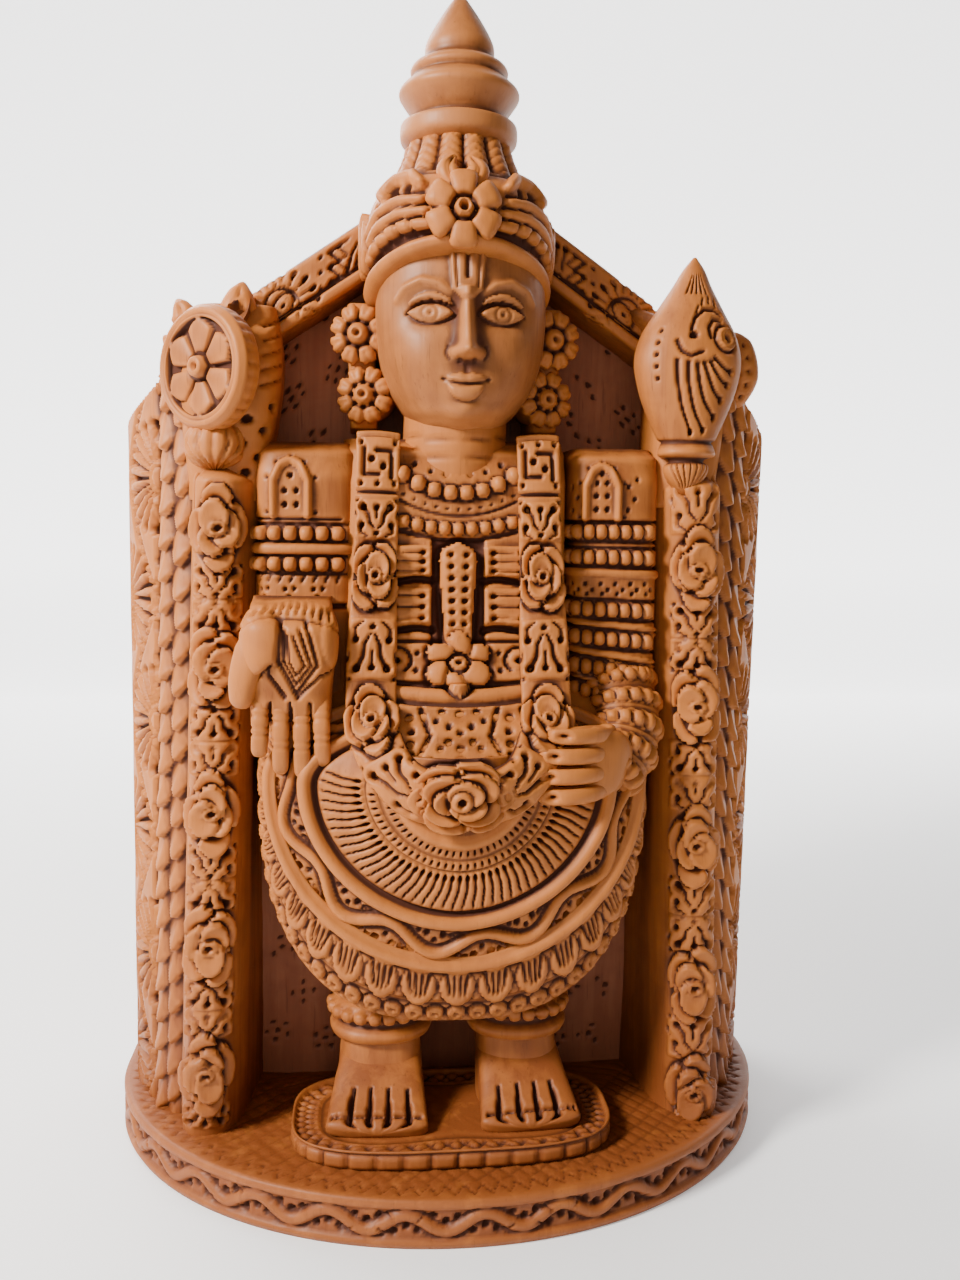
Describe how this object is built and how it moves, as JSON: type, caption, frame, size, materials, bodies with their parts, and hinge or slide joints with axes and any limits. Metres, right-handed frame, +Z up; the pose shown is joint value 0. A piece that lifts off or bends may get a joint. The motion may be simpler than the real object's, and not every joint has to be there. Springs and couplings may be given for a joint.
{
  "type": "vishnu figure",
  "caption": "Carved wooden Vishnu figure on a round plinth, standing in a gabled niche with garlands, disc and conch, crowned with a pointed finial.",
  "frame": {"origin": "on the underside, at the middle of the plinth's width and depth", "axes": "+Z up along the figure; -Y is the front that the figure faces; +X is to the right when looking at the front"},
  "size_m": [0.1248, 0.0786, 0.203],
  "materials": {
    "carved_wood": "hand carved close-grained wood, oiled and waxed to a satin, pale on the high places and dark brown in the cuts"
  },
  "bodies": {
    "root": {"carved_figure": "carved_wood"}
  },
  "joints": []
}
